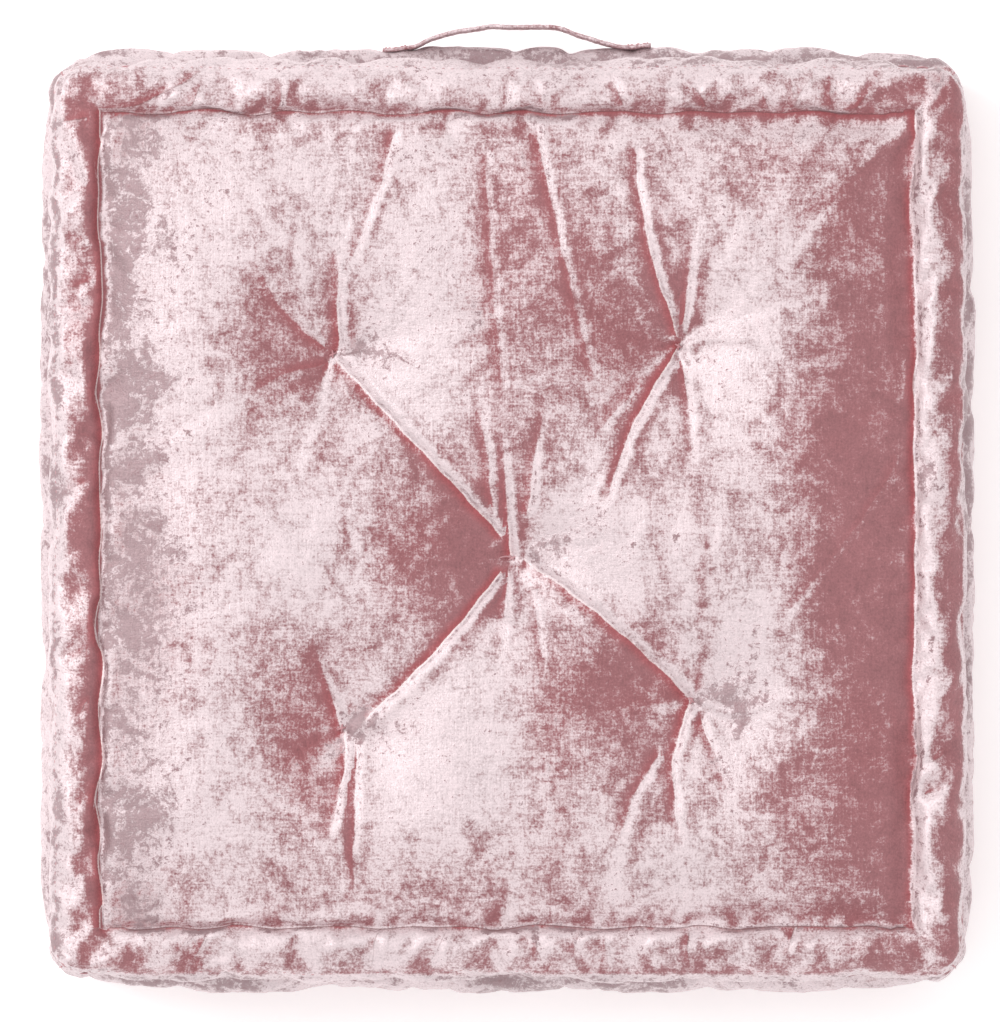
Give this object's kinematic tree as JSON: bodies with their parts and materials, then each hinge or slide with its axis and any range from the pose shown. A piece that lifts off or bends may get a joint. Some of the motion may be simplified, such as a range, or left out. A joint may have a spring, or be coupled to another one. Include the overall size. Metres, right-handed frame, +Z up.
{
  "type": "floor cushion",
  "caption": "Square velvet floor cushion with rolled edges, hand-tied tufts and a carrying strap sewn to one side.",
  "frame": {"origin": "on the floor under the middle of the square, where the flat underside rests", "axes": "+Z up out of the tufted top, +Y towards the side that carries the strap handle, +X to the right seen from the front"},
  "size_m": [0.5, 0.5164, 0.1],
  "materials": {
    "velvet": "crushed pile",
    "filling": "loose fibre",
    "thread": "twisted"
  },
  "bodies": {
    "cushion": {"top_panel": "velvet", "bottom_panel": "velvet", "side_strip_front": "velvet", "side_strip_right": "velvet", "side_strip_back": "velvet", "side_strip_left": "velvet", "handle_end_left": "velvet", "handle_end_right": "velvet", "fill_core": "filling", "top_roll_filling": "filling", "bottom_roll_filling": "filling", "top_seam_thread": "thread", "bottom_seam_thread": "thread", "corner_seam_front_right": "thread", "corner_seam_back_right": "thread", "corner_seam_back_left": "thread", "corner_seam_front_left": "thread", "top_roll_stitching": "thread", "top_side_stitching": "thread", "bottom_roll_stitching": "thread", "bottom_side_stitching": "thread", "tuft_tie_back_left": "thread", "tuft_tie_back_right": "thread", "tuft_tie_middle": "thread", "tuft_tie_front_left": "thread", "tuft_tie_front_right": "thread", "handle_stitch_left": "thread", "handle_stitch_right": "thread"},
    "handle": {"handle_loop": "velvet"}
  },
  "joints": [
    {"name": "handle_swing", "type": "hinge", "parent": "cushion", "child": "handle", "pos_m": [0.005, 0.25, 0.05], "axis": [1, 0, 0], "range_deg": [-30, 30], "stiffness_Nm_per_rad": 0.02}
  ]
}
